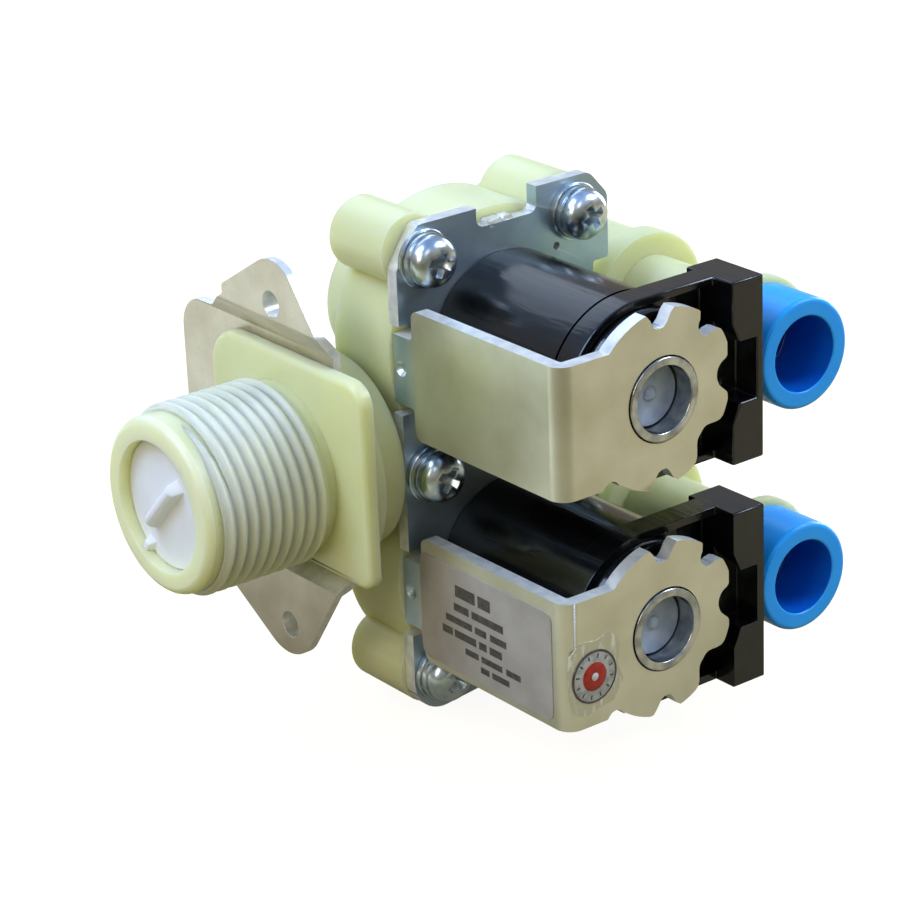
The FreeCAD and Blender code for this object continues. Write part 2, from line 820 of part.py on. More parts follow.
paired_pieces = {
    "coil": coil,
    "terminals": terminals,
    "flux_sleeve": flux_sleeve,
    "guide_tube": guide_tube,
    "plunger": plunger,
    "plunger_spring": plunger_spring,
    "diaphragm": diaphragm,
    "diaphragm_insert": diaphragm_insert,
    "outlet_sleeve": outlet_sleeve,
}
single_pieces = {
    "valve_body": valve_body,
    "mounting_bracket": mounting_bracket,
    "yoke": yoke,
    "inlet_strainer": inlet_strainer,
    "screws": screws,
    "label": label,
    "seal_sticker": seal_sticker,
}

os.makedirs("parts", exist_ok=True)
for name, make in single_pieces.items():
    make().exportStep(f"parts/{name}.step")
for name, make in paired_pieces.items():
    for level, z in solenoid_z.items():
        make(z).exportStep(f"parts/{name}_{level}.step")
print("built", len(single_pieces) + 2 * len(paired_pieces), "pieces")
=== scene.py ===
import bmesh
import bpy
import math
from mathutils import Matrix, Vector


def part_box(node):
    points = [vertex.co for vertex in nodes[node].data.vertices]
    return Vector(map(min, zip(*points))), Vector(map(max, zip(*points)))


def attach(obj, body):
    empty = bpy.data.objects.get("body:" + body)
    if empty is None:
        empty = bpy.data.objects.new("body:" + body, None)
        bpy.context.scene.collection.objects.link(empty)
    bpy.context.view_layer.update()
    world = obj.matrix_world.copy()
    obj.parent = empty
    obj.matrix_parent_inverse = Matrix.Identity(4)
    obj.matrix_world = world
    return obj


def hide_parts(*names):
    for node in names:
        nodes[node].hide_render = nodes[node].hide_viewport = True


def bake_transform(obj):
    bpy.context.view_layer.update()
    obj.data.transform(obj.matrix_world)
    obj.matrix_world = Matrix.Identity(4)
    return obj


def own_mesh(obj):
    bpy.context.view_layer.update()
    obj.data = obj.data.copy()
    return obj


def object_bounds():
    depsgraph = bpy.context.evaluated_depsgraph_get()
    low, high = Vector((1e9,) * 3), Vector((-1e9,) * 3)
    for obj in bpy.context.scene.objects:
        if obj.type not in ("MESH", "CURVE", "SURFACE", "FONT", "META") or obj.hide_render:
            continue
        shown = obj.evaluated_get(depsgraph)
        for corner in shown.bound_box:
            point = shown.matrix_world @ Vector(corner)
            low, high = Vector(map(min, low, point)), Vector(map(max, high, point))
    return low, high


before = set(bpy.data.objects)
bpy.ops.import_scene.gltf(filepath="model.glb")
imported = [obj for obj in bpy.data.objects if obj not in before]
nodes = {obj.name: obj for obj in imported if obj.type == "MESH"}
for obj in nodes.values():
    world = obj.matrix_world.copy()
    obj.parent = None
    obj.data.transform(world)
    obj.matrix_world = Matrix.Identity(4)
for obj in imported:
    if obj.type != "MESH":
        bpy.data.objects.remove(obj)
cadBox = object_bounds()
mm = 0.001
near = 0.01 * mm  # how closely a place has to match
levels = ("upper", "lower")
print("frame loaded:", len(nodes), "nodes")


def middle(node):
    low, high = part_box(node)
    return (low + high) / 2


solenoid = {level: middle("flux_sleeve_" + level) for level in levels}
outlet = {level: middle("outlet_sleeve_" + level) for level in levels}
solenoidAxis = {level: (solenoid[level].x, 0, solenoid[level].z) for level in levels}
outletAxis = {level: (outlet[level].x, 0, outlet[level].z) for level in levels}

# camera at the photograph's angle
cameraPlace = {
    "place": (-0.22333, -0.33457, 0.16523),
    "right": (0.789383, -0.612747, -0.037648),
    "up": (0.259138, 0.276991, 0.925275),
    "lens": 130.79,
    "sensor": 36.0,
    "near": 0.01,
}
camera = bpy.data.objects.new("camera", bpy.data.cameras.new("camera"))
bpy.context.scene.collection.objects.link(camera)
right = Vector(cameraPlace["right"]).normalized()
up = Vector(cameraPlace["up"])
up = (up - right * up.dot(right)).normalized()
turn = Matrix((right, up, right.cross(up))).transposed().to_4x4()
camera.matrix_world = Matrix.Translation(cameraPlace["place"]) @ turn
camera.data.lens = cameraPlace["lens"]
camera.data.sensor_width = cameraPlace["sensor"]
camera.data.clip_start = cameraPlace["near"]
bpy.context.scene.camera = camera

# materials
colourA, colourB, colourOut = 6, 7, 2  # the colour sockets of a Mix node


def linear(hexColour):
    parts = [int(hexColour[i:i + 2], 16) / 255 for i in (1, 3, 5)]
    return [p / 12.92 if p <= 0.04045 else ((p + 0.055) / 1.055) ** 2.4 for p in parts] + [1.0]


def addNode(tree, kind, settings=None, links=None):
    node = tree.nodes.new("ShaderNode" + kind)
    for key, value in (settings or {}).items():
        if isinstance(value, str) and value.startswith("#"):
            value = linear(value)
        if isinstance(key, int) or key in node.inputs:
            node.inputs[key].default_value = value
        else:
            setattr(node, key, value)
    for key, source in (links or {}).items():
        tree.links.new(source, node.inputs[key])
    return node


def startMaterial(name, settings):
    material = bpy.data.materials.new(name)
    material.use_nodes = True
    tree = material.node_tree
    shader = tree.nodes["Principled BSDF"]
    for key, value in settings.items():
        shader.inputs[key].default_value = value
    place = addNode(tree, "TexCoord").outputs["Object"]
    return material, tree, shader, place


def clouds(tree, place, size, low, high, detail=3.0, stretch=(1, 1, 1)):
    # noise of a real size in mm, drawn out between two positions of its range
    mapped = addNode(tree, "Mapping", {"Scale": [s / (size * mm) for s in stretch]}, {"Vector": place})
    noise = addNode(tree, "TexNoise", {"Scale": 1.0, "Detail": detail}, {"Vector": mapped.outputs[0]})
    return addNode(tree, "MapRange", {"From Min": low, "From Max": high}, {"Value": noise.outputs["Fac"]}).outputs[0]


def surface(name, settings, shades, cloud, grain=None, depth=0.0, strength=0.5, roughness=None):
    # two shades in clouds, and a grain of the given depth in mm that may also change the gloss
    material, tree, shader, place = startMaterial(name, settings)
    tint = clouds(tree, place, **cloud)
    shade = addNode(tree, "Mix", {"data_type": "RGBA", colourA: shades[0], colourB: shades[1]}, {"Factor": tint})
    tree.links.new(shade.outputs[colourOut], shader.inputs["Base Color"])
    if grain:
        fine = tint if grain is cloud else clouds(tree, place, **grain)
        bump = addNode(tree, "Bump", {"Strength": strength, "Distance": depth * mm}, {"Height": fine})
        tree.links.new(bump.outputs[0], shader.inputs["Normal"])
    if roughness:
        rough = addNode(tree, "MapRange", {"To Min": roughness[0], "To Max": roughness[1]}, {"Value": fine})
        tree.links.new(rough.outputs[0], shader.inputs["Roughness"])
    return material


# polyamide without pigment, moulded: cream with a green cast, light goes into it; the thin inlet walls and the inlet
# bore get lighter, yellower shades as a painted glow
nylon = {"Roughness": 0.33, "IOR": 1.53, "Subsurface Weight": 0.75, "Subsurface Scale": 0.005,
         "Subsurface Radius": (1.0, 0.95, 0.45)}
creamShades = {"creamNylonMoulded": ("#E0E2B0", "#D9DA9E"), "creamNylonInside": ("#EEF2B0", "#E8EC9E"),
               "creamNylonThinWall": ("#F4F5C4", "#F0F0B2")}
cream, creamBorePaintedGlow, creamPaintedGlow = [surface(
    name, nylon, shades, {"size": 22, "low": 0.35, "high": 0.7},
    {"size": 0.9, "low": 0.2, "high": 0.8}, depth=0.02, strength=0.35) for name, shades in creamShades.items()]

# white acetal, moulded: matt and a little cooler than the body
white = surface(
    "whiteNylonMoulded",
    {"Roughness": 0.55, "IOR": 1.48, "Subsurface Weight": 0.25, "Subsurface Scale": 0.002,
     "Subsurface Radius": (1.0, 1.0, 1.0)},
    ("#F4F4F6", "#E9EAEC"), {"size": 6, "low": 0.3, "high": 0.7},
    {"size": 0.4, "low": 0.2, "high": 0.8}, depth=0.01, strength=0.4)

# unpigmented nylon over the dark bore, moulded: bluish and milky
clear = surface(
    "clearNylonMoulded",
    {"Roughness": 0.25, "IOR": 1.53, "Subsurface Weight": 0.4, "Subsurface Scale": 0.0015,
     "Subsurface Radius": (0.7, 0.85, 1.0)},
    ("#B9C4D2", "#93A3B8"), {"size": 3, "low": 0.3, "high": 0.7},
    {"size": 0.8, "low": 0.2, "high": 0.8}, depth=0.03, strength=0.5)

# zinc on rolled steel: satin grey with a warm cast, a fine grain and cloudy patches in the gloss
bracketZinc = surface(
    "zincPlatedBracket", {"Metallic": 1.0, "Roughness": 0.32},
    ("#C6BCAE", "#B3A898"), {"size": 9, "low": 0.35, "high": 0.65, "detail": 4.0},
    {"size": 0.4, "low": 0.25, "high": 0.75, "detail": 2.0}, depth=0.012, strength=0.5, roughness=(0.26, 0.4))

# sheared and burnished edge of the sheet: it scatters light widely, and its near-white colour is also a painted
# highlight, so the outline shines
cutEdgeWithHighlight = surface(
    "shearedZincEdge", {"Metallic": 0.45, "Roughness": 0.3},
    ("#F6F5EE", "#D6DAD8"), {"size": 1.6, "low": 0.35, "high": 0.7, "detail": 4.0},
    {"size": 0.25, "low": 0.2, "high": 0.8, "detail": 2.0}, depth=0.012, strength=0.5)

# zinc-plated and passivated screw steel: bright with a blue cast
screwZinc = surface(
    "brightZincScrew", {"Metallic": 1.0, "Roughness": 0.26},
    ("#DCE4E8", "#AEBEC6"), {"size": 2.5, "low": 0.35, "high": 0.65},
    {"size": 0.7, "low": 0.2, "high": 0.8}, depth=0.02, strength=0.6)

# turned or ground steel: fine rings round its axis catch the light
steels = {"turnedSteelRing": ("#C9CCCC", 0.2), "groundSteel": ("#9A9B9D", 0.3)}
brightSteel, innerSteel = [surface(
    name, {"Metallic": 1.0, "Roughness": roughness}, (shade, "#8C9196"), {"size": 2.0, "low": 0.35, "high": 0.7},
    {"size": 0.3, "low": 0.2, "high": 0.8, "detail": 2.0, "stretch": (1, 0.2, 1)}, depth=0.01, strength=0.4)
    for name, (shade, roughness) in steels.items()]

# glass-filled polyester, moulded: black and glossy, with flow marks that break up the highlights
flowMarks = {"size": 2.4, "low": 0.3, "high": 0.75, "detail": 5.0, "stretch": (1, 0.1, 1)}
black = surface(
    "blackPolyesterMoulded", {"Roughness": 0.2, "IOR": 1.56},
    ("#040405", "#0C0D0F"), flowMarks, flowMarks, depth=0.13, strength=0.5, roughness=(0.1, 0.28))

# polypropylene, moulded: bright blue with a soft gloss, light goes in a little; the bores get darker blues as painted
# shade
polypropylene = {"Roughness": 0.33, "IOR": 1.49, "Subsurface Weight": 0.2, "Subsurface Scale": 0.0015,
                 "Subsurface Radius": (0.2, 0.5, 1.0)}
blueShades = {"bluePolypropyleneMoulded": ("#10A4FF", "#22ACFF"), "bluePolypropyleneBore": ("#0660CC", "#0A68D4"),
              "bluePolypropyleneInside": ("#0A4FC0", "#0C46A8")}
blue, bluePaintedBoreShade, bluePaintedDeepShade = [surface(
    name, polypropylene, shades, {"size": 6, "low": 0.3, "high": 0.7},
    {"size": 0.7, "low": 0.2, "high": 0.8}, depth=0.015, strength=0.4) for name, shades in blueShades.items()]

# moulded rubber: black and matt
rubber = surface("mattRubber", {"Roughness": 0.7, "IOR": 1.5},
                 ("#131313", "#1E1E1E"), {"size": 3, "low": 0.3, "high": 0.7})

# matt polyester film: pale grey with a pink cast, a little dirty and not quite flat
film = surface(
    "labelFilm", {"Roughness": 0.36, "IOR": 1.5},
    ("#B2ABA2", "#9C958B"), {"size": 7, "low": 0.35, "high": 0.7, "detail": 5.0},
    {"size": 6, "low": 0.3, "high": 0.7}, depth=0.12, strength=0.4)

# ink printed on film: worn in small patches, with the film's satin gloss
inkShades = {"redFilm": ("#B5281F", "#8E1A14"), "silverFilm": ("#B9B7AE", "#8F8D84"),
             "darkInk": ("#3A3634", "#57514D"), "paleFilm": ("#D9DAD4", "#C3C4BC")}
redFilm, silverFilm, darkInk, paleFilm = [surface(
    name, {"Roughness": 0.34}, shades, {"size": 0.8, "low": 0.4, "high": 0.7, "detail": 5.0})
    for name, shades in inkShades.items()]

# clear film on zinc, lifted and scratched: the metal shows through, with whitish streaks
streaks = {"size": 2.2, "low": 0.52, "high": 0.66, "detail": 6.0, "stretch": (2.6, 1.0, 0.7)}
scuffedFilm = surface("scuffedClearFilm", {"Roughness": 0.3, "Metallic": 0.75},
                      ("#C9C7B4", "#E9EBE6"), streaks, streaks, depth=0.08, strength=0.6)

# the yoke's zinc: warmer satin arms and pole plates; the base plate, the same plated sheet, is made bluer as a
# painted reflection of the dark coil and the parts round it
yokeFinish = {"metallic": 0.85, "roughness": 0.33, "satin": ("#E0DECB", "#CFCCB6"), "blued": ("#B9CBD6", "#9FB2BF"),
              "patches": {"size": 9, "low": 0.35, "high": 0.65, "detail": 4.0},
              "grain": {"size": 0.2, "low": 0.25, "high": 0.75, "detail": 1.0}, "depth": 0.02, "strength": 0.5,
              "armsFrom": -15.0, "baseFrom": -12.4, "finer": 0.03, "coarser": 0.05, "baseDuller": 0.02}
yokeZinc, yokeTree, yokeShader, yokePlace = startMaterial(
    "zincPlatedYoke", {"Metallic": yokeFinish["metallic"], "Roughness": yokeFinish["roughness"]})
patches = clouds(yokeTree, yokePlace, **yokeFinish["patches"])
satin, blued = [addNode(
    yokeTree, "Mix", {"data_type": "RGBA", colourA: yokeFinish[part][0], colourB: yokeFinish[part][1]},
    {"Factor": patches}).outputs[colourOut] for part in ("satin", "blued")]
# mask of the base plate, which takes the painted blue reflection
yokeY = addNode(yokeTree, "SeparateXYZ", None, {"Vector": yokePlace}).outputs["Y"]
isBase = addNode(yokeTree, "MapRange", {"From Min": yokeFinish["armsFrom"] * mm,
                                        "From Max": yokeFinish["baseFrom"] * mm}, {"Value": yokeY}).outputs[0]
yokeShade = addNode(yokeTree, "Mix", {"data_type": "RGBA"}, {"Factor": isBase, colourA: satin, colourB: blued})
yokeTree.links.new(yokeShade.outputs[colourOut], yokeShader.inputs["Base Color"])
yokeGrain = clouds(yokeTree, yokePlace, **yokeFinish["grain"])
yokeRough = addNode(yokeTree, "MapRange", {"To Min": yokeFinish["roughness"] - yokeFinish["finer"],
                                           "To Max": yokeFinish["roughness"] + yokeFinish["coarser"]},
                    {"Value": yokeGrain}).outputs[0]
yokeDull = addNode(yokeTree, "Math", {"operation": "MULTIPLY_ADD", 1: yokeFinish["baseDuller"]},
                   {0: isBase, 2: yokeRough})
yokeTree.links.new(yokeDull.outputs[0], yokeShader.inputs["Roughness"])
yokeBump = addNode(yokeTree, "Bump", {"Strength": yokeFinish["strength"], "Distance": yokeFinish["depth"] * mm},
                   {"Height": yokeGrain})
yokeTree.links.new(yokeBump.outputs[0], yokeShader.inputs["Normal"])

finishes = {
    "valve_body": cream, "mounting_bracket": bracketZinc, "yoke": yokeZinc, "inlet_strainer": white,
    "screws": screwZinc, "label": film, "seal_sticker": redFilm, "coil": black, "terminals": brightSteel,
    "flux_sleeve": brightSteel, "guide_tube": clear, "plunger": innerSteel, "plunger_spring": innerSteel,
    "diaphragm": rubber, "diaphragm_insert": white, "outlet_sleeve": blue,
}
for name, node in nodes.items():
    finish = finishes[name.replace("_upper", "").replace("_lower", "")]
    node.data.materials.clear()
    node.data.materials.append(finish)
    node.data.polygons.foreach_set("use_smooth", [False] * len(node.data.polygons))
print("materials made")


# modelling helpers
def deselectAll():
    if bpy.context.mode != "OBJECT":
        bpy.ops.object.mode_set(mode="OBJECT")
    bpy.ops.object.select_all(action="DESELECT")


def activate(piece):
    deselectAll()
    piece.select_set(True)
    bpy.context.view_layer.objects.active = piece


def openWhole(piece):
    # into edit mode, with all of the piece selected
    activate(piece)
    bpy.ops.object.mode_set(mode="EDIT")
    bpy.ops.mesh.select_all(action="SELECT")


def finishPiece(piece, name, material, body, smoothAngle=32):
    # a piece without a body is left unattached
    activate(piece)
    bpy.ops.object.transform_apply(location=True, rotation=True, scale=True)
    bpy.ops.object.shade_smooth_by_angle(angle=math.radians(smoothAngle))
    piece.name = piece.data.name = name
    piece.data.materials.clear()
    piece.data.materials.append(material)
    if body:
        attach(piece, body)


def applied(piece, kind, **settings):
    activate(piece)
    modifier = piece.modifiers.new(kind.title(), kind)
    for key, value in settings.items():
        setattr(modifier, key, value)
    bpy.ops.object.modifier_apply(modifier=modifier.name)


def softened(piece, width, segments=2, angle=34):
    # rounds every edge that turns by more than the angle
    applied(piece, "BEVEL", width=width, segments=segments, limit_method="ANGLE",
            angle_limit=math.radians(angle), use_clamp_overlap=True)


def combined(piece, tool, operation="DIFFERENCE"):
    # cuts the tool's form out of the piece or adds it
    applied(piece, "BOOLEAN", operation=operation, object=tool, solver="EXACT")
    bpy.data.objects.remove(tool)


def evenShading(piece):
    # large flat faces stay flat to the light, and the rounded edges alone turn
    applied(piece, "WEIGHTED_NORMAL", mode="FACE_AREA", weight=50, keep_sharp=True)


def copyOfNode(node):
    # a copy of a CAD node's triangles, merged, with its flat faces whole
    piece = nodes[node].copy()
    piece.data = nodes[node].data.copy()
    for key in list(piece.keys()):
        del piece[key]
    piece.parent = None
    bpy.context.scene.collection.objects.link(piece)
    openWhole(piece)
    bpy.ops.mesh.remove_doubles(threshold=0.004 * mm)
    bpy.ops.mesh.dissolve_limited(angle_limit=math.radians(0.4))
    bpy.ops.object.mode_set(mode="OBJECT")
    return piece


def softenedNode(node, name, material, width, segments=2):
    piece = copyOfNode(node)
    softened(piece, width, segments=segments)
    finishPiece(piece, name, material, "valve")
    evenShading(piece)
    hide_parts(node)
    return piece


def selectPlaces(piece, mode, test):
    # selects the vertices, edges or faces that pass a test of place or normal
    activate(piece)
    bpy.ops.object.mode_set(mode="EDIT")
    bpy.context.tool_settings.mesh_select_mode = (mode == "VERT", mode == "EDGE", mode == "FACE")
    bpy.ops.mesh.select_all(action="DESELECT")
    mesh = bmesh.from_edit_mesh(piece.data)
    mesh.verts.ensure_lookup_table()
    parts = {"VERT": mesh.verts, "EDGE": mesh.edges, "FACE": mesh.faces}[mode]
    for part in parts:
        part.select_set(bool(test(part)))
    mesh.select_flush_mode()
    bmesh.update_edit_mesh(piece.data)


def roundedEdges(piece, isIt, width, profile=0.5):
    selectPlaces(piece, "EDGE", isIt)
    bpy.ops.mesh.bevel(offset=width, segments=4, profile=profile, affect="EDGES", clamp_overlap=True)


def traced(points):
    # a line of edges through the points, extruded from one vertex
    deselectAll()
    bpy.ops.mesh.primitive_plane_add(size=mm, location=(0, 0, 0))
    piece = bpy.context.object
    bpy.ops.object.mode_set(mode="EDIT")
    bpy.context.tool_settings.mesh_select_mode = (True, False, False)
    bpy.ops.mesh.select_all(action="SELECT")
    bpy.ops.mesh.merge(type="CENTER")
    bpy.ops.transform.translate(value=points[0])
    for before, after in zip(points, points[1:]):
        step = Vector(after) - Vector(before)
        bpy.ops.mesh.extrude_region_move(TRANSFORM_OT_translate={"value": step})
    return piece


def cleaned(piece, gap=0.004 * mm):
    # vertices closer than the gap merged, faces pointing outwards
    openWhole(piece)
    bpy.ops.mesh.remove_doubles(threshold=gap)
    bpy.ops.mesh.normals_make_consistent(inside=False)
    bpy.ops.object.mode_set(mode="OBJECT")
    return piece


def turned(profile, centre, axis="Y", steps=64):
    # a ring or disc from (radius, place along the axis) points in mm, spun about the line through centre
    along = Vector((1, 0, 0)) if axis == "X" else Vector((0, 1, 0))
    base = Vector(centre) - along * Vector(centre).dot(along)
    piece = traced([base + along * place * mm + Vector((0, 0, radius * mm)) for radius, place in profile])
    bpy.ops.mesh.select_all(action="SELECT")
    bpy.ops.mesh.spin(steps=steps, angle=2 * math.pi, center=base, axis=along)
    return cleaned(piece)


def boxed(low, high, edge=0.0, segments=2):
    # a block between two corners in mm, with rounded edges where a width is given
    deselectAll()
    bpy.ops.mesh.primitive_cube_add(size=1.0, location=[(a + b) / 2 * mm for a, b in zip(low, high)])
    piece = bpy.context.object
    piece.scale = [(b - a) * mm for a, b in zip(low, high)]
    bpy.ops.object.transform_apply(location=True, rotation=True, scale=True)
    if edge:
        applied(piece, "BEVEL", width=edge * mm, segments=segments, limit_method="NONE")
    return piece


def joinedPieces(pieces):
    activate(pieces[0])
    for piece in pieces:
        piece.select_set(True)
    bpy.ops.object.join()
    return pieces[0]


def copied(piece, matrix):
    # a copy with its own mesh, moved in the mesh
    other = piece.copy()
    other.data = piece.data.copy()
    bpy.context.scene.collection.objects.link(other)
    other.data.transform(matrix)
    return other


def secondFinish(piece, material, isIt):
    # gives the faces that pass the test another finish
    piece.data.materials.append(material)
    selectPlaces(piece, "FACE", isIt)
    piece.active_material_index = len(piece.data.materials) - 1
    bpy.ops.object.material_slot_assign()
    bpy.ops.object.mode_set(mode="OBJECT")


# moulded body: rounded boss ends, mouth and flange, all other edges softened
bodySizes = {"edge": 0.35 * mm, "bossY": 1.6 * mm, "bossRound": 0.9 * mm, "bossSides": 12,
             "mouthX": -19.7 * mm, "mouthR": 11 * mm, "mouthRound": 1.15 * mm, "mouthProfile": 0.42,
             "flangeX": 0.5 * mm, "flangeR": 12.2 * mm, "flangeRound": 0.8 * mm,
             "thinUpTo": -1 * mm, "boreX": -12 * mm, "boreR": 9.6 * mm}


def isBossEnd(edge):
    return (all(abs(v.co.y - bodySizes["bossY"]) < near for v in edge.verts)
            and any(len(face.verts) > bodySizes["bossSides"] for face in edge.link_faces))


def isRim(edge, part):
    # edges in the mouth's or flange's front plane, beyond its radius
    planeX, radius = bodySizes[part + "X"], bodySizes[part + "R"]
    return all(abs(v.co.x - planeX) < near and v.co.yz.length > radius for v in edge.verts)


body = copyOfNode("valve_body")
roundedEdges(body, isBossEnd, bodySizes["bossRound"])
roundedEdges(body, lambda edge: isRim(edge, "mouth"), bodySizes["mouthRound"], bodySizes["mouthProfile"])
roundedEdges(body, lambda edge: isRim(edge, "flange"), bodySizes["flangeRound"])
softened(body, bodySizes["edge"])
finishPiece(body, "mouldedBody", cream, "valve")
evenShading(body)
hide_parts("valve_body")
# the inlet in front of the flange gets the lighter shades as a painted glow of its thin walls
secondFinish(body, creamPaintedGlow, lambda face: all(v.co.x < bodySizes["thinUpTo"] for v in face.verts))
# the inlet's bore wall gets brighter, yellower shades as a painted glow
secondFinish(body, creamBorePaintedGlow, lambda face: all(
    v.co.x < bodySizes["boreX"] and v.co.yz.length < bodySizes["boreR"] for v in face.verts))

# inlet thread: a rounded ridge wound round the root cylinder, which runs out at both ends
thread = {"start": -16.9, "pitch": 1.814, "turns": 9, "part": 0.985, "steps": 64, "root": 11.95, "crest": 13.05,
          "half": 0.905, "runOut": 14, "merge": 0.0005,
          "ridge": ((-1.0, 0.0), (-1.0, 0.46), (-0.62, 0.56), (-0.34, 0.78), (-0.14, 0.9), (0.14, 0.9), (0.34, 0.78),
                    (0.62, 0.56), (1.0, 0.46), (1.0, 0.0), (-1.0, 0.0))}
ridgeHeight = thread["crest"] - thread["root"]
turns = traced([Vector((thread["start"] + along * thread["half"], 0, thread["root"] + rise * ridgeHeight)) * mm
                for along, rise in thread["ridge"]])
cleaned(turns)
applied(turns, "SCREW", axis="X", screw_offset=thread["pitch"] * thread["part"] * mm, iterations=thread["turns"],
        angle=2 * math.pi * thread["part"], steps=thread["steps"], render_steps=thread["steps"],
        use_merge_vertices=False)
ringSize = len(thread["ridge"]) - 1
ringCount = len(turns.data.vertices) // ringSize


def selectRing(ring):
    chosen = set(range(ring * ringSize, (ring + 1) * ringSize))
    selectPlaces(turns, "VERT", lambda vertex: vertex.index in chosen)


sunk = thread["root"] / thread["crest"]
for step in range(thread["runOut"]):
    for ring in (step, ringCount - 1 - step):
        selectRing(ring)
        factor = sunk + (1 - sunk) * step / thread["runOut"]
        bpy.ops.transform.resize(value=(1, factor, factor), center_override=(0, 0, 0))
for ring in (0, ringCount - 1):
    selectRing(ring)
    bpy.ops.mesh.edge_face_add()
cleaned(turns, thread["merge"] * mm)
# the thread gets the painted glow finish as well
finishPiece(turns, "inletThread", creamPaintedGlow, "valve", smoothAngle=60)

# strainer: its disc stands nearer the mouth, with a softer and shorter grip rib and a small key
strainerSizes = {"front": -16.7 * mm, "proud": 0.05 * mm, "behind": -15.5 * mm, "forward": 1.3 * mm, "disc": 1.045,
                 "rib": (0.66, 0.8, 0.82), "ribReach": 6.0 * mm, "key": (0.5, 0.6, 0.6), "edge": 0.3 * mm}


def isProud(vertex):
    return vertex.co.x < strainerSizes["front"] - strainerSizes["proud"]


strainer = copyOfNode("inlet_strainer")
selectPlaces(strainer, "VERT", lambda vertex: isProud(vertex) and vertex.co.yz.length < strainerSizes["ribReach"])
bpy.ops.transform.resize(value=strainerSizes["rib"], center_override=(strainerSizes["front"], 0, 0))
selectPlaces(strainer, "VERT", lambda vertex: isProud(vertex) and vertex.co.yz.length > strainerSizes["ribReach"])
keyPlaces = [vertex.co.copy() for vertex in bmesh.from_edit_mesh(strainer.data).verts if vertex.select]
keyMiddle = sum(keyPlaces, Vector()) / len(keyPlaces)
bpy.ops.transform.resize(value=strainerSizes["key"],
                         center_override=(strainerSizes["front"], keyMiddle.y, keyMiddle.z))
selectPlaces(strainer, "VERT", lambda vertex: vertex.co.x < strainerSizes["behind"])
bpy.ops.transform.translate(value=(-strainerSizes["forward"], 0, 0))
bpy.ops.transform.resize(value=(1, strainerSizes["disc"], strainerSizes["disc"]), center_override=(0, 0, 0))
softened(strainer, strainerSizes["edge"], segments=3)
finishPiece(strainer, "inletStrainer", white, "valve", smoothAngle=50)
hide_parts("inlet_strainer")
print("body and inlet modelled")

# folded yoke: square outer bends with dimples, notched pole plates, a gap round each flux sleeve, a small hole
yokeSizes = {"edge": 0.36 * mm, "merge": 0.05 * mm, "armX": 12.06, "armDrop": 0.7,
             "tabX": 14.0, "tabBack": -10.0, "tabFront": -12.4, "tabHalf": 4.8,
             "dimpleY": -11.6, "dimpleRise": 0.3, "dimpleSteps": 24,
             "dimple": ((0, -0.6), (1.15, -0.6), (1.15, 0.0), (0.7, 0.7), (0, 0.7)),
             "poleY": -44.2, "sheet": 2.0, "cutBefore": 1, "cutBehind": 0.25, "cutOut": 1.4,
             "gapR": 5.84, "gapDepth": 2.4, "gapFront": -46,
             "holeX": 38.4, "holeZ": 24.9, "holeSteps": 20,
             "hole": ((0, -12.6), (0.55, -12.6), (0.55, -11.0), (0, -11.0)),
             "edgeLean": 0.45, "frontY": -42.5 * mm, "frontLean": -0.5, "frontX": 15 * mm,
             "sideX": 12.0 * mm, "sideLean": -0.4}
# the pole plate's edge: how far it reaches, and its notches as (turn, depth, half width) in degrees and mm
poleEdge = {"reach": 12.3, "dip": 1.15, "dipTurn": -30, "dipWidth": 52, "ends": (128, -124), "step": 2.8,
            "notches": ((92, 2.65, 8.6), (47.8, 2.2, 8.4), (3.5, 2.25, 11.5), (-45, 2.4, 13.2), (-91.2, 2.5, 8.4))}


def poleReach(turn):
    fromDip = (turn - poleEdge["dipTurn"]) / poleEdge["dipWidth"]
    reach = poleEdge["reach"] - poleEdge["dip"] * math.exp(-fromDip ** 2)
    for notchTurn, depth, halfWidth in poleEdge["notches"]:
        reach -= depth * math.exp(-((turn - notchTurn) / halfWidth) ** 4)
    return reach


def poleCutter(axisX, axisZ):
    # what lies outside the pole plate's edge
    first, last = poleEdge["ends"]
    count = int((first - last) / poleEdge["step"])
    turnsRound = [first + (last - first) * index / count for index in range(count + 1)]
    frontY = (yokeSizes["poleY"] - yokeSizes["cutBefore"]) * mm
    backY = (yokeSizes["poleY"] + yokeSizes["sheet"] + yokeSizes["cutBehind"]) * mm
    cutter = traced([Vector(((axisX + poleReach(turn) * math.cos(math.radians(turn))) * mm, frontY,
                             (axisZ + poleReach(turn) * math.sin(math.radians(turn))) * mm)) for turn in turnsRound])
    bpy.ops.mesh.select_all(action="SELECT")
    bpy.ops.mesh.extrude_edges_move(TRANSFORM_OT_translate={"value": (0, 0, 0)})
    bpy.ops.transform.resize(value=(yokeSizes["cutOut"], 1, yokeSizes["cutOut"]),
                             center_override=(axisX * mm, frontY, axisZ * mm))
    bpy.ops.mesh.select_all(action="SELECT")
    bpy.ops.mesh.extrude_region_move(TRANSFORM_OT_translate={"value": (0, backY - frontY, 0)})
    return cleaned(cutter)


def isCutEdge(face):
    # edges that look up or down, the pole plates' front edges and the base plate's side
    spot = face.calc_center_median()
    isInFront = spot.y < yokeSizes["frontY"] and spot.x > yokeSizes["frontX"]
    isPoleEdge = isInFront and face.normal.x < yokeSizes["frontLean"]
    isBaseSide = spot.x < yokeSizes["sideX"] and face.normal.x < yokeSizes["sideLean"]
    return abs(face.normal.z) > yokeSizes["edgeLean"] or isPoleEdge or isBaseSide


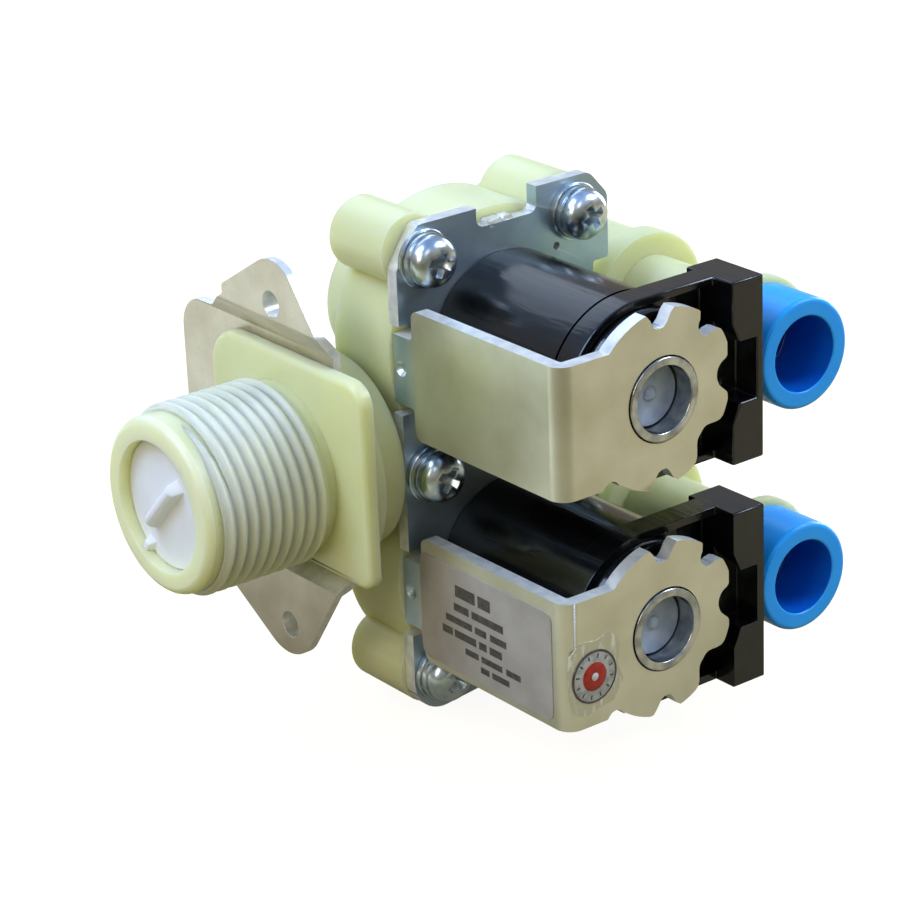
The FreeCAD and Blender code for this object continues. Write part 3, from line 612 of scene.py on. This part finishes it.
yoke = copyOfNode("yoke")
for level in levels:
    axisX, axisZ = solenoid[level].x / mm, solenoid[level].z / mm
    armX, armZ = yokeSizes["armX"], axisZ - yokeSizes["armDrop"]
    combined(yoke, boxed((armX, yokeSizes["tabFront"], armZ - yokeSizes["tabHalf"]),
                         (yokeSizes["tabX"], yokeSizes["tabBack"], armZ + yokeSizes["tabHalf"])), "UNION")
    combined(yoke, turned([(radius, armX + deep) for radius, deep in yokeSizes["dimple"]],
                          (0, yokeSizes["dimpleY"] * mm, (armZ + yokeSizes["dimpleRise"]) * mm),
                          "X", yokeSizes["dimpleSteps"]))
    combined(yoke, poleCutter(axisX, axisZ))
    gapBack = yokeSizes["poleY"] + yokeSizes["gapDepth"]
    combined(yoke, turned([(0, yokeSizes["gapFront"]), (yokeSizes["gapR"], yokeSizes["gapFront"]),
                           (yokeSizes["gapR"], gapBack), (0, gapBack)], (axisX * mm, 0, axisZ * mm)))
combined(yoke, turned(yokeSizes["hole"], (yokeSizes["holeX"] * mm, 0, yokeSizes["holeZ"] * mm), "Y",
                      yokeSizes["holeSteps"]))
cleaned(yoke, yokeSizes["merge"])
softened(yoke, yokeSizes["edge"], segments=3)
finishPiece(yoke, "foldedYoke", yokeZinc, "valve")
evenShading(yoke)
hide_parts("yoke")
# the cut edges get the near-white finish, partly a painted highlight
secondFinish(yoke, cutEdgeWithHighlight, isCutEdge)

# folded bracket, with a rounded lip at its two holes
bracketSizes = {"edge": 0.18 * mm, "angle": 40, "holeLip": 0.5 * mm, "holeR": 1.8 * mm, "holeZ": 23 * mm,
                "holeNear": 0.05 * mm, "sideLean": 0.75, "frontLean": -0.3, "topLean": 0.5}


def isHoleEdge(edge):
    return all(abs(v.co.x) < near and abs(math.hypot(v.co.y, abs(v.co.z) - bracketSizes["holeZ"])
                                          - bracketSizes["holeR"]) < bracketSizes["holeNear"] for v in edge.verts)


bracket = copyOfNode("mounting_bracket")
roundedEdges(bracket, isHoleEdge, bracketSizes["holeLip"])
softened(bracket, bracketSizes["edge"], angle=bracketSizes["angle"])
finishPiece(bracket, "foldedBracket", bracketZinc, "valve")
evenShading(bracket)
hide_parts("mounting_bracket")
# edges facing up or to the front get the near-white finish, partly a painted highlight
secondFinish(bracket, cutEdgeWithHighlight, lambda face: abs(face.normal.x) < bracketSizes["sideLean"] and (
    face.normal.y < bracketSizes["frontLean"] or face.normal.z > bracketSizes["topLean"]))

# stubs left at the notch of the base plate where it was broken off the strip
stubs = {"low": 29.6, "high": 31.0, "places": ((26.9, 29.4), (29.6, 31.3)), "front": -11.95, "back": -10.15,
         "round": 0.35, "rough": 0.2, "evenness": 0.5, "seed": 5}
stubPiece = joinedPieces([boxed((left, stubs["front"], stubs["low"]), (far, stubs["back"], stubs["high"]),
                                stubs["round"], segments=3) for left, far in stubs["places"]])
openWhole(stubPiece)
bpy.ops.transform.vertex_random(offset=stubs["rough"] * mm, uniform=stubs["evenness"], seed=stubs["seed"])
finishPiece(stubPiece, "breakOffStubs", cutEdgeWithHighlight, "valve", smoothAngle=50)
print("sheet metal modelled")

# pan-head screw with a cross recess, a split spring washer and a plain washer, modelled once and copied
screwSizes = {
    "head": ((0, -13.8), (3.35, -13.8), (3.48, -13.95), (3.46, -14.6), (3.3, -15.2), (2.9, -15.75), (2.3, -16.12),
             (1.4, -16.36), (0, -16.42)),
    "edge": 0.1 * mm, "angle": 40,
    "recessArm": 2.1, "recessWidth": 0.66, "recessFront": -17.2, "recessFoot": -14.6, "recessTaper": 0.5,
    "washer": ((2.0, -12.02), (3.9, -12.02), (4.0, -12.12), (4.0, -12.68), (3.9, -12.78), (2.0, -12.78),
               (2.0, -12.02)),
    "split": ((2.1, -13.74, -0.01), (3.7, -12.84, 0.01)), "splitTurn": 346, "splitSteps": 56, "splitEdge": 0.12 * mm,
    "places": ((15.9, 28.6), (41.4, 29.2), (15.8, -1.46), (40.8, -1.46), (15.8, -30.86), (40.8, -30.86)),
    "turned": (20, 65, 35, 5, 50, 80),
}
head = turned(screwSizes["head"], (0, 0, 0))
crossArm = (screwSizes["recessArm"], screwSizes["recessWidth"])
for wide, tall in (crossArm, crossArm[::-1]):
    arm = boxed((-wide, screwSizes["recessFront"], -tall), (wide, screwSizes["recessFoot"], tall))
    selectPlaces(arm, "FACE", lambda face: face.normal.y > 0.9)
    bpy.ops.transform.resize(value=(screwSizes["recessTaper"], 1, screwSizes["recessTaper"]),
                             center_override=(0, screwSizes["recessFoot"] * mm, 0))
    combined(head, arm)
softened(head, screwSizes["edge"], angle=screwSizes["angle"])
plainWasher = turned(screwSizes["washer"], (0, 0, 0))
splitWasher = boxed(*screwSizes["split"])
selectPlaces(splitWasher, "FACE", lambda face: face.normal.z > 0.9)
bpy.ops.mesh.spin(steps=screwSizes["splitSteps"], angle=math.radians(screwSizes["splitTurn"]),
                  center=(0, 0, 0), axis=(0, 1, 0))
cleaned(splitWasher)
softened(splitWasher, screwSizes["splitEdge"], angle=screwSizes["angle"])
screwModel = joinedPieces([head, plainWasher, splitWasher])
for number, ((across, height), degrees) in enumerate(zip(screwSizes["places"], screwSizes["turned"]), 1):
    move = Matrix.Translation((across * mm, 0, height * mm)) @ Matrix.Rotation(math.radians(degrees), 4, "Y")
    screw = copied(screwModel, move)
    finishPiece(screw, "panHeadScrew_" + str(number), screwZinc, "valve", smoothAngle=40)
    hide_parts("screws")
bpy.data.objects.remove(screwModel)
print("screws modelled:", len(screwSizes["places"]))

# coils with an inner ring, flux sleeves, and the moulding nubs at the ends of the guide tubes
coilSizes = {
    "edge": 0.3 * mm, "sleeveEdge": 0.2 * mm, "nubSteps": 32,
    "nub": ((0, -41.4), (1.05, -41.4), (1.0, -41.55), (0.85, -41.8), (0.5, -41.95), (0, -42.0)),
    "ring": ((10.0, -39.6), (10.0, -41.0), (10.3, -41.3), (10.8, -41.3), (11.0, -41.0), (11.0, -39.6), (10.0, -39.6)),
}
for level in levels:
    softenedNode("coil_" + level, "mouldedCoil_" + level, black, coilSizes["edge"])
    softenedNode("flux_sleeve_" + level, "turnedFluxSleeve_" + level, brightSteel,
                 coilSizes["sleeveEdge"], segments=3)
    nub = turned(coilSizes["nub"], solenoidAxis[level], "Y", coilSizes["nubSteps"])
    finishPiece(nub, "guideTubeNub_" + level, clear, "valve", smoothAngle=60)
    ring = turned(coilSizes["ring"], solenoidAxis[level])
    finishPiece(ring, "coilInnerRing_" + level, black, "valve", smoothAngle=50)
print("coils modelled")

# inner pieces: the springs as copies, and each diaphragm as a clamped bead and a web
innerSizes = {
    "springFoot": -40.5, "springKeep": 0.763, "beadPlace": -7.9, "webPlace": -4.3,
    "bead": ((12.3, -3.2), (12.5, -3.02), (14.4, -3.02), (14.58, -3.2), (14.58, -8.1), (14.4, -8.28), (12.5, -8.28),
             (12.3, -8.1), (12.3, -3.2)),
    "web": ((12.28, -8.25), (11.7, -8.0), (9.4, -5.4), (8.5, -4.3), (7.7, -4.02), (0.8, -4.0), (0.8, -3.02),
            (8.5, -3.02), (9.4, -3.5), (10.3, -4.5), (12.28, -7.3), (12.28, -8.25)),
}
for level in levels:
    axisX, _, axisZ = solenoidAxis[level]
    spring = copyOfNode("plunger_spring_" + level)
    finishPiece(spring, "drawnSpring_" + level, innerSteel, "valve", smoothAngle=50)
    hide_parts("plunger_spring_" + level)
    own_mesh(spring)
    bead = turned(innerSizes["bead"], solenoidAxis[level])
    finishPiece(bead, "diaphragmBead_" + level, rubber, "valve", smoothAngle=60)
    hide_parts("diaphragm_" + level)
    web = turned(innerSizes["web"], solenoidAxis[level])
    finishPiece(web, "diaphragmWeb_" + level, rubber, None, smoothAngle=60)
    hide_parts("diaphragm_" + level)
    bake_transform(web)
print("inner pieces modelled")

# blue outlet sleeves, their bores darker as painted shade, with a darker ring set inside each bore as painted shade
outletSizes = {
    "edge": 0.4 * mm, "boreR": 5.3 * mm,
    "lining": ((5.3, -34.35), (4.5, -34.35), (4.3, -34.1), (4.3, -20.0), (4.39, -20.0), (4.39, -34.28), (5.3, -34.28),
               (5.3, -34.35)),
}
for level in levels:
    axisPlace = outlet[level]
    sleeve = softenedNode("outlet_sleeve_" + level, "blueSleeve_" + level, blue,
                          outletSizes["edge"], segments=3)
    # the bore faces get the darker blue as painted shade
    secondFinish(sleeve, bluePaintedBoreShade, lambda face: all(
        math.hypot(v.co.x - axisPlace.x, v.co.z - axisPlace.z) < outletSizes["boreR"] for v in face.verts))
    # a darker blue ring inside the bore, as painted shade
    lining = turned(outletSizes["lining"], outletAxis[level])
    finishPiece(lining, "boreLining_" + level, bluePaintedDeepShade, "valve", smoothAngle=50)
print("outlets modelled")

# label on the lower arm: film with round corners, wrinkled low at its left, and rows of plain bars
labelSizes = {
    "corner": 1.3 * mm, "cornerSteps": 6, "thick": 0.12 * mm, "cell": 1.1 * mm, "skin": 0.05 * mm,
    "wrinkleR": 0.75 * mm,
    # ((y, z), rise, reach) in mm
    "wrinkles": (((-15.8, -20.8), 0.5, 2.4), ((-15.0, -23.0), 0.5, 1.9), ((-17.2, -22.4), 0.35, 1.5),
                 ((-15.8, -25.0), 0.4, 1.6), ((-18.8, -24.4), 0.25, 1.6)),
    # (middle of the row, height of its bars, (start from the label's left end, width) of each bar) in mm
    "rows": ((4.3, 1.7, ((7.6, 4.2), (12.4, 2.6))), (1.9, 1.1, ((7.2, 3.2), (11.0, 6.6))),
             (-0.1, 1.0, ((5.4, 5.6), (11.6, 2.4), (14.8, 3.4))),
             (-2.0, 1.1, ((4.6, 2.2), (7.2, 4.6), (12.4, 1.6), (14.6, 2.6))),
             (-3.9, 0.9, ((9.4, 2.8), (12.8, 4.4), (18.0, 3.0))), (-5.5, 0.9, ((12.6, 1.8), (15.0, 3.6)))),
    "barDeep": 0.12, "barFront": 0.02, "barBack": 0.05, "barEdge": 0.01,
}
labelLow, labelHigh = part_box("label")
labelAcross, labelUp = (labelLow.y + labelHigh.y) / 2, (labelLow.z + labelHigh.z) / 2
deselectAll()
bpy.ops.mesh.primitive_plane_add(size=1.0, location=(labelHigh.x, labelAcross, labelUp),
                                 rotation=(0, -math.pi / 2, 0))
labelPiece = bpy.context.object
labelPiece.scale = (labelHigh.z - labelLow.z, labelHigh.y - labelLow.y, 1)
bpy.ops.object.transform_apply(location=True, rotation=True, scale=True)
openWhole(labelPiece)
bpy.ops.mesh.bevel(offset=labelSizes["corner"], segments=labelSizes["cornerSteps"], affect="VERTICES")
for normal, low, high in (((0, 1, 0), labelLow.y, labelHigh.y), ((0, 0, 1), labelLow.z, labelHigh.z)):
    count = int((high - low) / labelSizes["cell"])
    for index in range(1, count):
        spot = low + (high - low) * index / count
        bpy.ops.mesh.select_all(action="SELECT")
        bpy.ops.mesh.bisect(plane_co=[part * spot for part in normal], plane_no=normal)
bpy.ops.mesh.select_all(action="SELECT")
bpy.ops.mesh.extrude_region_move(TRANSFORM_OT_translate={"value": (-labelSizes["thick"], 0, 0)})
for (wrinkleY, wrinkleZ), rise, reach in labelSizes["wrinkles"]:
    selectPlaces(labelPiece, "VERT", lambda vertex: vertex.co.x < labelHigh.x - labelSizes["skin"] and (
        vertex.co.yz - Vector((wrinkleY, wrinkleZ)) * mm).length < labelSizes["wrinkleR"])
    bpy.ops.transform.translate(value=(-rise * mm, 0, 0), use_proportional_edit=True, proportional_size=reach * mm)
cleaned(labelPiece)
finishPiece(labelPiece, "labelFilm", film, "valve", smoothAngle=50)
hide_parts("label")
barX, labelLeft, labelMiddle = labelHigh.x / mm - labelSizes["barDeep"], labelHigh.y / mm, labelUp / mm
barFront, barBack = barX - labelSizes["barFront"], barX + labelSizes["barBack"]
barPieces = []
for rise, tall, bars in labelSizes["rows"]:
    for start, width in bars:
        barPieces.append(boxed((barFront, labelLeft - start - width, labelMiddle + rise - tall / 2),
                               (barBack, labelLeft - start, labelMiddle + rise + tall / 2),
                               labelSizes["barEdge"], segments=1))
finishPiece(joinedPieces(barPieces), "labelBars", darkInk, "valve")
print("label modelled")

# round seal on the lower pole plate: silver ring with dark marks, red middle, clear film patch round it
sealSizes = {
    "ring": ((0, -44.2), (3.7, -44.2), (3.7, -44.3), (3.45, -44.36), (0, -44.36)),
    "edge": ((3.4, -44.3), (3.42, -44.4), (3.66, -44.4), (3.72, -44.3), (3.4, -44.3)),
    "middle": ((0, -44.3), (2.05, -44.3), (1.9, -44.42), (0.7, -44.46), (0, -44.46)),
    "dot": ((0, -44.4), (0.62, -44.4), (0.5, -44.5), (0, -44.5)), "dotSteps": 24,
    "patch": ((-4.6, 1.2), (-4.1, 3.9), (-2.2, 5.3), (0.4, 4.9), (2.9, 5.6), (4.4, 3.4), (4.0, 0.6), (4.9, -1.8),
              (3.2, -4.4), (0.6, -4.8), (-1.4, -5.3), (-3.6, -4.4), (-4.2, -2.0), (-4.6, 1.2)),
    "patchY": -44.27, "patchThick": 0.07,
    "tick": ((2.55, -44.38, -0.13), (3.2, -44.3, 0.13)), "tickEdge": 0.03, "ticks": 12, "firstTick": 12,
}
sealLow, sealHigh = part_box("seal_sticker")
sealX, sealZ = (sealLow.x + sealHigh.x) / 2, (sealLow.z + sealHigh.z) / 2
sealPlace = (sealX, 0, sealZ)
sealRing = turned(sealSizes["ring"], sealPlace)
finishPiece(sealRing, "sealRing", silverFilm, "valve", smoothAngle=50)
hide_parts("seal_sticker")
finishPiece(turned(sealSizes["edge"], sealPlace), "sealEdge", darkInk, "valve", smoothAngle=50)
finishPiece(turned(sealSizes["middle"], sealPlace), "sealMiddle", redFilm, "valve", smoothAngle=50)
sealDot = turned(sealSizes["dot"], sealPlace, "Y", sealSizes["dotSteps"])
finishPiece(sealDot, "sealDot", paleFilm, "valve", smoothAngle=50)
patch = traced([Vector((sealX + across * mm, sealSizes["patchY"] * mm, sealZ + rise * mm))
                for across, rise in sealSizes["patch"]])
bpy.ops.mesh.select_all(action="SELECT")
bpy.ops.mesh.remove_doubles(threshold=near)
bpy.ops.mesh.edge_face_add()
bpy.ops.mesh.extrude_region_move(TRANSFORM_OT_translate={"value": (0, sealSizes["patchThick"] * mm, 0)})
cleaned(patch)
finishPiece(patch, "sealFilmPatch", scuffedFilm, "valve")
tick = boxed(*sealSizes["tick"], sealSizes["tickEdge"], segments=1)
tickStep = 360 / sealSizes["ticks"]
tickTurns = [math.radians(tickStep * number + sealSizes["firstTick"]) for number in range(sealSizes["ticks"])]
ticks = [copied(tick, Matrix.Translation(sealPlace) @ Matrix.Rotation(tickTurn, 4, "Y")) for tickTurn in tickTurns]
bpy.data.objects.remove(tick)
finishPiece(joinedPieces(ticks), "sealMarks", darkInk, "valve")
print("seal modelled")

# floor: pale paper, white to the camera; in the metal's reflections it glows as painted light, cool to the left, warm
# to the right, dim in front
floorSizes = {"size": 4.0, "below": 0.2 * mm, "roughness": 0.9, "colour": "#7D6F3E",
              "cool": "#E4F5FA", "warm": "#FFF5E4", "leftEnd": -0.12, "rightEnd": 0.16, "leftPower": 1.2,
              "rightPower": 0.35, "darkUpTo": -0.2, "litFrom": -0.06, "shadeAt": -15 * mm, "shadeFrom": 0.03,
              "shadeTo": 0.13, "shadePower": 0.2, "seenPower": 0.93}
deselectAll()
bpy.ops.mesh.primitive_plane_add(size=floorSizes["size"], location=(0, 0, cadBox[0].z - floorSizes["below"]))
floor = bpy.context.object
floor.name = "floor"
palePaper, paperTree, paperShader, paperPlace = startMaterial(
    "palePaper", {"Roughness": floorSizes["roughness"], "Base Color": linear(floorSizes["colour"])})
toCamera = addNode(paperTree, "LightPath").outputs["Is Camera Ray"]
toGloss = addNode(paperTree, "LightPath").outputs["Is Glossy Ray"]
spread = addNode(paperTree, "SeparateXYZ", None, {"Vector": paperPlace})
across = addNode(paperTree, "Math", {"operation": "SUBTRACT"}, {0: spread.outputs["X"], 1: spread.outputs["Y"]})
away = addNode(paperTree, "Math", {"operation": "ADD"}, {0: spread.outputs["X"], 1: spread.outputs["Y"]})
toRight = addNode(paperTree, "MapRange", {"From Min": floorSizes["leftEnd"], "From Max": floorSizes["rightEnd"]},
                  {"Value": across.outputs[0]}).outputs[0]
lit = addNode(paperTree, "MapRange", {"From Min": floorSizes["darkUpTo"], "From Max": floorSizes["litFrom"]},
              {"Value": away.outputs[0]}).outputs[0]
power = addNode(paperTree, "MapRange", {"To Min": floorSizes["leftPower"], "To Max": floorSizes["rightPower"]},
                {"Value": toRight}).outputs[0]
# painted shadow under the piece itself: the glow fades near it
underPiece = addNode(paperTree, "Mapping", {"Location": (floorSizes["shadeAt"], 0, 0)}, {"Vector": paperPlace})
outwards = addNode(paperTree, "VectorMath", {"operation": "LENGTH"}, {0: underPiece.outputs[0]})
beyondShade = addNode(paperTree, "MapRange", {
    "From Min": floorSizes["shadeFrom"], "From Max": floorSizes["shadeTo"], "To Min": floorSizes["shadePower"],
}, {"Value": outwards.outputs["Value"]}).outputs[0]
glow = power
for factor in (lit, beyondShade, toGloss):
    glow = addNode(paperTree, "Math", {"operation": "MULTIPLY"}, {0: glow, 1: factor}).outputs[0]
glow = addNode(paperTree, "Math", {"operation": "MULTIPLY_ADD", 1: floorSizes["seenPower"]}, {0: toCamera, 2: glow})
cast = addNode(paperTree, "Mix", {"data_type": "RGBA", colourA: floorSizes["cool"], colourB: floorSizes["warm"]},
               {"Factor": toRight})
seen = addNode(paperTree, "Mix", {"data_type": "RGBA", colourB: "#FFFFFF"},
               {"Factor": toCamera, colourA: cast.outputs[colourOut]})
paperTree.links.new(seen.outputs[colourOut], paperShader.inputs["Emission Color"])
paperTree.links.new(glow.outputs[0], paperShader.inputs["Emission Strength"])
floor.data.materials.append(palePaper)

# room: white to the camera; to the pieces bright and cool overhead, warm in front, dim below
roomSizes = {"low": -0.25, "high": 0.8, "dim": 0.08, "bright": 0.85, "cool": "#A6C8FF", "warm": "#FFEECB",
             "coolFrom": 0.75, "warmFrom": 0.05}
room = bpy.data.worlds.new("studio")
bpy.context.scene.world = room
room.use_nodes = True
sky = room.node_tree
skyPlace = addNode(sky, "TexCoord").outputs["Generated"]
skyHeight = addNode(sky, "SeparateXYZ", None, {"Vector": skyPlace}).outputs["Z"]
brightness = addNode(sky, "MapRange", {
    "From Min": roomSizes["low"], "From Max": roomSizes["high"],
    "To Min": roomSizes["dim"], "To Max": roomSizes["bright"],
}, {"Value": skyHeight})
inFront = addNode(sky, "MapRange", {"From Min": roomSizes["coolFrom"], "From Max": roomSizes["warmFrom"]},
                  {"Value": skyHeight})
straight = addNode(sky, "LightPath").outputs["Is Camera Ray"]
strength = addNode(sky, "Mix", {"data_type": "FLOAT", "B": 1.0}, {"Factor": straight, "A": brightness.outputs[0]})
roomShade = addNode(sky, "Mix", {"data_type": "RGBA", colourA: roomSizes["cool"], colourB: roomSizes["warm"]},
                    {"Factor": inFront.outputs[0]})
seenShade = addNode(sky, "Mix", {"data_type": "RGBA", colourB: "#FFFFFF"},
                    {"Factor": straight, colourA: roomShade.outputs[colourOut]})
sky.links.new(seenShade.outputs[colourOut], sky.nodes["Background"].inputs["Color"])
sky.links.new(strength.outputs[0], sky.nodes["Background"].inputs["Strength"])

# soft square lamps that look at the middle of the piece
lamps = {
    "keyLamp": {"place": (-0.45, 0.15, 0.6), "size": 0.4, "power": 4.0, "colour": "#BCD6FF"},
    "backLamp": {"place": (0.15, 0.7, 0.42), "size": 0.6, "power": 1.6, "colour": "#DCEBFF"},
    "leftLamp": {"place": (-0.6, -0.15, 0.35), "size": 0.3, "power": 1.15, "colour": "#FFF3D8"},
    "frontLamp": {"place": (-0.25, -0.65, 0.6), "size": 0.3, "power": 0.5, "colour": "#FFF3DE"},
    "rightLamp": {"place": (0.6, 0.1, 0.12), "size": 0.3, "power": 2.0, "colour": "#D4E4FF"},
    "sideLamp": {"place": (0.5, -0.35, 0.5), "size": 0.3, "power": 3.6, "colour": "#DCEAFF"},
}
centre = (cadBox[0] + cadBox[1]) / 2
for name, lamp in lamps.items():
    light = bpy.data.lights.new(name, "AREA")
    light.shape = "SQUARE"
    light.size = lamp["size"]
    light.energy = lamp["power"]
    light.color = linear(lamp["colour"])[:3]
    holder = bpy.data.objects.new(name, light)
    bpy.context.scene.collection.objects.link(holder)
    aim = centre - Vector(lamp["place"])
    holder.matrix_world = Matrix.Translation(lamp["place"]) @ aim.to_track_quat("-Z", "Y").to_matrix().to_4x4()
bpy.context.scene.view_settings.view_transform = "Standard"
print("stage set")
